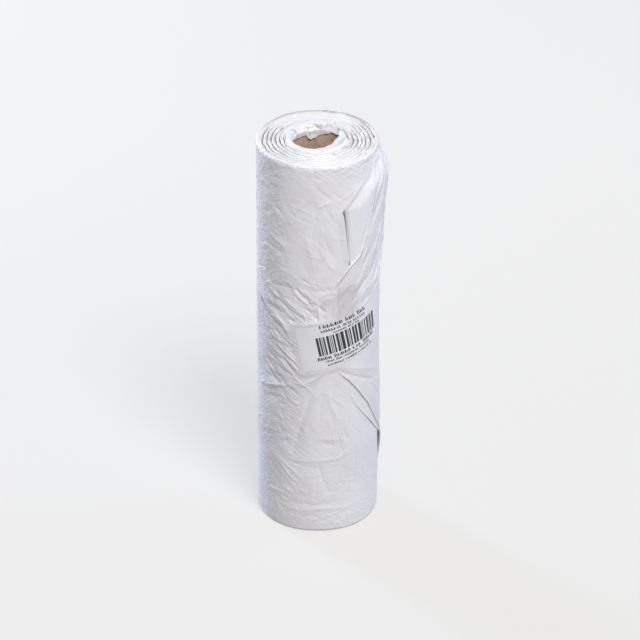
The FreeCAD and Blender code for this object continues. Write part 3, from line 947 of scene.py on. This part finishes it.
def ink_bars(bm, draw, left, right, low, high):
    """A field of upright bars of mixed widths."""
    across = left
    while across < right:
        wide = BAR_MODULE * draw.choice([1, 1, 2, 1, 3, 4, 2])
        ink_patch(bm, across, min(right, across + wide), low, high)
        across += wide + BAR_MODULE * draw.choice([1, 1, 2, 1, 2])


# Making the pieces

def finish_piece(piece, material, slot, *nodes):
    """Gives a piece its material and its body, and hides the CAD parts that it takes the place of."""
    piece.data.materials.clear()
    piece.data.materials.append(material)
    for face in piece.data.polygons:
        face.use_smooth = True
    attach(piece, "root")
    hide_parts(*nodes)
    return piece


def piece_from(bm, name):
    mesh = bpy.data.meshes.new(name)
    bm.to_mesh(mesh)
    bm.free()
    piece = bpy.data.objects.new(name, mesh)
    bpy.context.scene.collection.objects.link(piece)
    return piece


def unrolled(co, u, closed):
    """Distance round the roll of a point, without a jump at the back."""
    angle = math.atan2(co.x, -co.y)
    if u > 0.75 and angle < 0:
        angle += 2.0 * math.pi
    if closed and u < 0.25 and angle > 0:
        angle -= 2.0 * math.pi
    return angle * RADIUS


def moved_grid(name, columns, rows, place, closed=False, shade=None, turned=False):
    """A grid with its points moved to place(u, v).

    shade(u, v) is kept as the film's painted shade in the attribute dark (on the ends with some tint), and
    each point also keeps how crinkled its film is.
    The UV map is the film unrolled, in units of 100 mm.
    """
    bm = bmesh.new()
    dark = bm.verts.layers.float.new("dark")
    crinkle = bm.verts.layers.float.new("crinkle")
    spread_out = bm.loops.layers.uv.new("UVMap")
    bmesh.ops.create_grid(bm, x_segments=columns, y_segments=rows, size=0.5)
    flat = {}
    for vert in bm.verts:
        u = vert.co.x + 0.5
        v = vert.co.y + 0.5
        if shade:
            vert[dark] = shade(u, v)
        vert.co = place(u, v)
        arc = unrolled(vert.co, u, closed)
        height = vert.co.z / MM
        vert[crinkle] = crinkle_at(arc / RADIUS, height) * window(-112, 112, 5, arc)
        flat[vert] = (arc / 100.0, height / 100.0)
    for face in bm.faces:
        for loop in face.loops:
            loop[spread_out].uv = flat[loop.vert]
    if closed:
        bmesh.ops.remove_doubles(bm, verts=bm.verts, dist=0.00001)
    if turned:
        bmesh.ops.reverse_faces(bm, faces=bm.faces)
    return piece_from(bm, name)


def thicken(piece, thickness):
    """Gives a sheet its wall on its inner side, with crisp rims."""
    bm = bmesh.new()
    bm.from_mesh(piece.data)
    bmesh.ops.solidify(bm, geom=bm.faces[:], thickness=thickness * MM)
    for edge in bm.edges:
        edge.smooth = edge.calc_face_angle(0.0) < math.radians(55)
    bm.to_mesh(piece.data)
    bm.free()
    return piece


def thicken_crumpled(piece, thickness):
    """Gives a crumpled sheet its wall, evenly along its own normals."""
    wall = piece.modifiers.new("wall", "SOLIDIFY")
    wall.thickness = thickness * MM
    return piece


def end_shade(inner):
    """Painted shade in the gaps between turns and in the folds on an end, with cream patches and thin layer
    lines, from its rim to an inner radius.
    """
    def shade(u, v):
        angle = column_angle(u)
        radius = mix(END_RIM, inner, v)
        gap, crown = turn_gap(angle, radius)
        lines = layer_lines(angle, radius)
        place = roll_point(angle, radius, 0) / MM
        gap *= 0.55 + 0.6 * smooth(-0.3, 0.3, noise.noise(place / 7.0 + Vector((1.0, 5.0, 2.0))))
        cream = 0.14 * smooth(-0.3, 0.4, noise.noise(place / 6.0))
        pressed = 0.45 * max(0.0, -top_folds(angle, radius))
        apart = openness(angle) * (0.95 * gap + 0.10 * crown + cream + 0.60 * lines)
        return min(1.0, apart + 0.20 * lines + pressed)
    return shade


def cardboard_core():
    """The core spun from the section of its wall, with softened rims."""
    bm = bmesh.new()
    soft = 0.3
    outer = CORE_BORE + CORE_WALL
    section = [
        (CORE_BORE + soft, 0.0), (outer - soft, 0.0), (outer, soft), (outer, CORE_TOP - soft),
        (outer - soft, CORE_TOP), (CORE_BORE + soft, CORE_TOP),
        (CORE_BORE, CORE_TOP - soft), (CORE_BORE, soft),
    ]
    corners = [bm.verts.new((radius * MM, 0.0, height * MM)) for radius, height in section]
    edges = [bm.edges.new((a, b)) for a, b in zip(corners, corners[1:] + corners[:1])]
    bmesh.ops.spin(
        bm, geom=corners + edges, cent=(0, 0, 0), axis=(0, 0, 1), dvec=(0, 0, 0),
        angle=2 * math.pi, steps=CORE_STEPS, use_merge=True,
    )
    bmesh.ops.remove_doubles(bm, verts=bm.verts, dist=0.000001)
    bmesh.ops.recalc_face_normals(bm, faces=bm.faces)
    return piece_from(bm, "cardboard_core")


def label_print():
    """Plain bars and dashes in the places of the label's lines."""
    bm = bmesh.new()
    draw = random.Random(41)
    for line in LINES_ABOVE:
        ink_words(bm, draw, *line)
    ink_bars(bm, draw, *BARS)
    for line in LINES_BELOW:
        ink_words(bm, draw, *line)
    return piece_from(bm, "label_print")


# Finishes

def new_material(name, colour, roughness):
    """A material with its nodes, its shader and its links ready to add to."""
    material = bpy.data.materials.new(name)
    material.use_nodes = True
    tree = material.node_tree
    shader = tree.nodes["Principled BSDF"]
    shader.inputs["Base Color"].default_value = (*colour, 1.0)
    shader.inputs["Roughness"].default_value = roughness
    return material, tree, shader


def add_node(tree, kind, **values):
    """A node with its settings and unlinked inputs given by name."""
    node = tree.nodes.new(kind)
    for name, value in values.items():
        if name in node.inputs:
            node.inputs[name].default_value = value
        else:
            setattr(node, name, value)
    return node


def object_places(tree):
    """Object coordinates in millimetres."""
    places = add_node(tree, "ShaderNodeTexCoord")
    mapping = add_node(tree, "ShaderNodeMapping", Scale=(1000, 1000, 1000))
    tree.links.new(places.outputs["Object"], mapping.inputs["Vector"])
    return mapping.outputs["Vector"]


def noise_at(tree, vector, scale, detail, roughness=0.5):
    """A noise texture at a scale, read at the given places."""
    texture = add_node(tree, "ShaderNodeTexNoise", Scale=scale, Detail=detail, Roughness=roughness)
    tree.links.new(vector, texture.inputs["Vector"])
    return texture.outputs["Fac"]


def bump_over(tree, height, strength, distance, under=None):
    """A bump laid over another one."""
    bump = add_node(tree, "ShaderNodeBump", Strength=strength, Distance=distance)
    tree.links.new(height, bump.inputs["Height"])
    if under:
        tree.links.new(under, bump.inputs["Normal"])
    return bump.outputs["Normal"]


def colour_between(tree, factor, first, second):
    """Mixes two colours by a factor."""
    blend = add_node(tree, "ShaderNodeMix", data_type="RGBA")
    blend.inputs["A"].default_value = (*first, 1.0)
    blend.inputs["B"].default_value = (*second, 1.0)
    tree.links.new(factor, blend.inputs["Factor"])
    return blend


def maths(tree, operation, first, second, clamp=False):
    """A sum on one or two linked values."""
    node = add_node(tree, "ShaderNodeMath", operation=operation, use_clamp=clamp)
    for socket, value in zip(node.inputs, (first, second)):
        if isinstance(value, (int, float)):
            socket.default_value = value
        else:
            tree.links.new(value, socket)
    return node.outputs["Value"]


def crease_lines(tree, turn, length, across):
    """Fine pressed lines that run at an angle on the unrolled film, from 0 to 1 on their crests."""
    places = add_node(tree, "ShaderNodeTexCoord")
    mapping = add_node(tree, "ShaderNodeMapping", vector_type="TEXTURE")
    mapping.inputs["Rotation"].default_value = (0.0, 0.0, math.radians(turn))
    mapping.inputs["Scale"].default_value = (length / 100.0, across / 100.0, 1.0)
    tree.links.new(places.outputs["UV"], mapping.inputs["Vector"])
    texture = add_node(tree, "ShaderNodeTexNoise", Scale=1.0, Detail=1.5, Roughness=0.5, Distortion=0.35)
    tree.links.new(mapping.outputs["Vector"], texture.inputs["Vector"])
    off = maths(tree, "ABSOLUTE", maths(tree, "SUBTRACT", texture.outputs["Fac"], 0.5), 0.0)
    return maths(tree, "SUBTRACT", 1.0, maths(tree, "MULTIPLY", off, TURN_SHARPNESS), clamp=True)


def film_finish(name, colour, layered, shadow, depth, turns):
    """Thin satin film: fine pressed lines in two directions, crinkles, and painted shade from its dark
    attribute in its gaps and creases.
    """
    material, tree, shader = new_material(name, colour, 0.3)
    places = object_places(tree)
    crinkle = add_node(tree, "ShaderNodeAttribute", attribute_name="crinkle")
    fine = noise_at(tree, places, 0.35, 2.0, 0.5)
    normal = bump_over(tree, fine, 0.4, 0.0002)
    for turn, length, across in turns:
        lines = crease_lines(tree, turn, length, across)
        lines = maths(tree, "MULTIPLY", lines, crinkle.outputs["Fac"])
        normal = bump_over(tree, lines, 1.0, depth * MM, normal)
    tree.links.new(normal, shader.inputs["Normal"])
    patches = maths(tree, "SUBTRACT", noise_at(tree, places, 0.035, 1.5), 0.42)
    patches = maths(tree, "MULTIPLY", patches, 6.0, clamp=True)
    layers = colour_between(tree, patches, layered, colour)
    dark = add_node(tree, "ShaderNodeAttribute", attribute_name="dark")
    tone = colour_between(tree, dark.outputs["Fac"], colour, shadow)
    tree.links.new(layers.outputs["Result"], tone.inputs["A"])
    tree.links.new(tone.outputs["Result"], shader.inputs["Base Color"])
    gloss = add_node(tree, "ShaderNodeMapRange")
    gloss.inputs["To Min"].default_value, gloss.inputs["To Max"].default_value = GLOSS_REACH
    tree.links.new(noise_at(tree, places, 0.08, 2.0), gloss.inputs["Value"])
    tree.links.new(gloss.outputs["Result"], shader.inputs["Roughness"])
    shader.inputs["Subsurface Weight"].default_value = 0.10
    shader.inputs["Subsurface Radius"].default_value = (1.0, 1.0, 1.1)
    shader.inputs["Subsurface Scale"].default_value = 0.0007
    return material


def kraft_finish():
    """Grey-brown board with fibres and soft blotches."""
    material, tree, shader = new_material("kraft_board", BOARD_COLOUR, 0.85)
    places = object_places(tree)
    fibres = noise_at(tree, places, 0.5, 5.0, 0.65)
    blotches = noise_at(tree, places, 0.11, 2.0, 0.5)
    fine = maths(tree, "MULTIPLY", fibres, 0.6)
    uneven = maths(tree, "ADD", fine, maths(tree, "MULTIPLY", blotches, 0.4))
    tone = colour_between(tree, uneven, BOARD_DARK, BOARD_LIGHT)
    tree.links.new(tone.outputs["Result"], shader.inputs["Base Color"])
    tree.links.new(bump_over(tree, fibres, 0.5, 0.0003), shader.inputs["Normal"])
    shader.inputs["Specular IOR Level"].default_value = 0.25
    return material


def paper_finish():
    """Smooth white label paper, with painted shade along its cut edge."""
    material, tree, shader = new_material("label_paper", PAPER_COLOUR, 0.45)
    places = object_places(tree)
    grain = noise_at(tree, places, 0.9, 3.0, 0.6)
    tone = colour_between(tree, grain, PAPER_DARK, PAPER_LIGHT)
    dark = add_node(tree, "ShaderNodeAttribute", attribute_name="dark")
    edge_shaded = colour_between(tree, dark.outputs["Fac"], PAPER_COLOUR, PAPER_EDGE_SHADE)
    tree.links.new(tone.outputs["Result"], edge_shaded.inputs["A"])
    tree.links.new(edge_shaded.outputs["Result"], shader.inputs["Base Color"])
    tree.links.new(bump_over(tree, grain, 0.15, 0.0001), shader.inputs["Normal"])
    return material


def ink_finish():
    """Printed blue-black ink, a little worn."""
    material, tree, shader = new_material("print_ink", INK_COLOUR, 0.5)
    places = object_places(tree)
    worn = noise_at(tree, places, 0.6, 3.0, 0.6)
    tone = colour_between(tree, worn, INK_DARK, INK_LIGHT)
    tree.links.new(tone.outputs["Result"], shader.inputs["Base Color"])
    return material


def floor_finish():
    """Pale seamless studio floor, a little lighter towards the back."""
    material, tree, shader = new_material("studio_floor", FLOOR_COLOUR, 0.9)
    places = add_node(tree, "ShaderNodeTexCoord")
    apart = add_node(tree, "ShaderNodeSeparateXYZ")
    tree.links.new(places.outputs["Object"], apart.inputs["Vector"])
    glow = add_node(tree, "ShaderNodeMapRange")
    glow.inputs["From Min"].default_value, glow.inputs["From Max"].default_value = FLOOR_GLOW_REACH
    glow.inputs["To Min"].default_value, glow.inputs["To Max"].default_value = FLOOR_GLOW_STRENGTH
    tree.links.new(apart.outputs["Y"], glow.inputs["Value"])
    tree.links.new(glow.outputs["Result"], shader.inputs["Emission Strength"])
    shader.inputs["Emission Color"].default_value = (*FLOOR_GLOW, 1.0)
    shader.inputs["Specular IOR Level"].default_value = 0.1
    return material


# Putting the roll together

def dress_roll():
    """The film of the roll's side, of both ends and of the mouth."""
    film = film_finish("bag_film", FILM_COLOUR, FILM_LAYERED, FILM_GAP_SHADE, 0.11, ROLL_TURNS)
    halves = [("film_lower_side", lower_side_point, None), ("film_upper_side", upper_side_point, rim_shade)]
    for name, place, shade in halves:
        side = moved_grid(name, ROUND_COLUMNS, HALF_ROWS + RIM_ROWS, place, True, shade)
        finish_piece(side, film, "film", "bag_roll")
    ends = film_finish("bag_film_ends", END_COLOUR, END_COLOUR, END_SHADE_AND_TINT, 0.02, END_TURNS)
    top = moved_grid("film_top_turns", END_COLUMNS, END_ROWS, top_point, True, end_shade(TOP_SPAN[1]))
    finish_piece(top, ends, "film", "bag_roll")
    inner = end_shade(FOOT_SPAN[1])
    foot = moved_grid("film_foot_turns", END_COLUMNS, END_ROWS, bottom_point, True, inner, turned=True)
    finish_piece(foot, ends, "film", "bag_roll")
    mouth = moved_grid("film_mouth", END_COLUMNS, MOUTH_ROWS, mouth_point, True, mouth_shade)
    finish_piece(thicken_crumpled(mouth, MOUTH_WALL), ends, "film", "bag_roll")


def dress_loose_end():
    """The panel, flap, skirt, pleat and overhanging edge of the loose end."""
    film = film_finish("loose_film", FILM_COLOUR, FILM_LAYERED, FILM_GAP_SHADE, 0.08, LOOSE_TURNS)
    single = film_finish("single_film", FILM_SINGLE, FILM_SINGLE, FILM_GAP_SHADE, 0.08, LOOSE_TURNS)
    sheets = [
        ("loose_panel", PANEL_GRID, panel_point, panel_shade, single),
        ("loose_sheet", SHEET_GRID, sheet_point, sheet_shade, film),
        ("loose_pleat", PLEAT_GRID, pleat_point, None, film),
        ("loose_overhang", OVERHANG_GRID, overhang_point, None, film),
    ]
    for name, grid, place, shade, material in sheets:
        sheet = moved_grid(name, *grid, place, shade=shade)
        finish_piece(thicken(sheet, FILM_WALL), material, "film", "bag_roll")


def dress_label():
    """The paper label with its print."""
    paper = moved_grid("label_paper_sheet", *PAPER_GRID, paper_point, shade=paper_shade)
    finish_piece(thicken(paper, LABEL_PAPER), paper_finish(), "label", "adhesive_label")
    finish_piece(label_print(), ink_finish(), "label", "adhesive_label")


def dress_core():
    """The bare cardboard core."""
    finish_piece(cardboard_core(), kraft_finish(), "tube", "cardboard_tube")


# Studio

def add_floor():
    """A wide pale floor under the roll."""
    bm = bmesh.new()
    bmesh.ops.create_grid(bm, x_segments=1, y_segments=1, size=9.0)
    floor = piece_from(bm, "studio_floor_plane")
    floor.data.materials.append(floor_finish())
    floor.visible_diffuse = False
    floor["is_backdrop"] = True


def add_area(name, power, size, azimuth, elevation, distance, colour):
    """A soft panel light that looks at the roll."""
    light = bpy.data.lights.new(name, "AREA")
    light.energy = power
    light.shape = "RECTANGLE"
    light.size, light.size_y = size
    light.color = colour
    lamp = bpy.data.objects.new(name, light)
    turn = math.radians(azimuth)
    rise = math.radians(elevation)
    lamp.location = Vector((
        math.sin(turn) * math.cos(rise) * distance,
        -math.cos(turn) * math.cos(rise) * distance,
        math.sin(rise) * distance + LIGHT_AIM,
    ))
    towards = Vector((0, 0, LIGHT_AIM)) - lamp.location
    lamp.rotation_euler = towards.to_track_quat("-Z", "Y").to_euler()
    bpy.context.scene.collection.objects.link(lamp)


def add_studio():
    """Soft light from above and the front, and cool light along both sides."""
    world = bpy.data.worlds.new("studio_air")
    world.use_nodes = True
    air = world.node_tree.nodes["Background"]
    air.inputs["Color"].default_value = (1.0, 1.0, 1.0, 1.0)
    air.inputs["Strength"].default_value = AIR_STRENGTH
    bpy.context.scene.world = world
    for light in LIGHTS:
        add_area(*light)
    bpy.context.scene.view_settings.view_transform = "Standard"


def add_camera():
    """The photograph's viewpoint: far off, 30 degrees above."""
    rise = math.radians(CAMERA_RISE)
    target = Vector(CAMERA_TARGET)
    lens = bpy.data.cameras.new("studio_camera")
    lens.lens = CAMERA_LENS
    lens.sensor_width = 36.0
    lens.clip_start = 0.1
    lens.clip_end = 60.0
    camera = bpy.data.objects.new("studio_camera", lens)
    camera.location = target + Vector((0.0, -math.cos(rise), math.sin(rise))) * CAMERA_DISTANCE
    camera.rotation_euler = (target - camera.location).to_track_quat("-Z", "Y").to_euler()
    bpy.context.scene.collection.objects.link(camera)
    bpy.context.scene.camera = camera


add_camera()
add_floor()
add_studio()
dress_roll()
dress_loose_end()
dress_label()
dress_core()

sizes = {"cad": cad_box, "visual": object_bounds()}
{name: [list(corner) for corner in box] for name, box in sizes.items()}
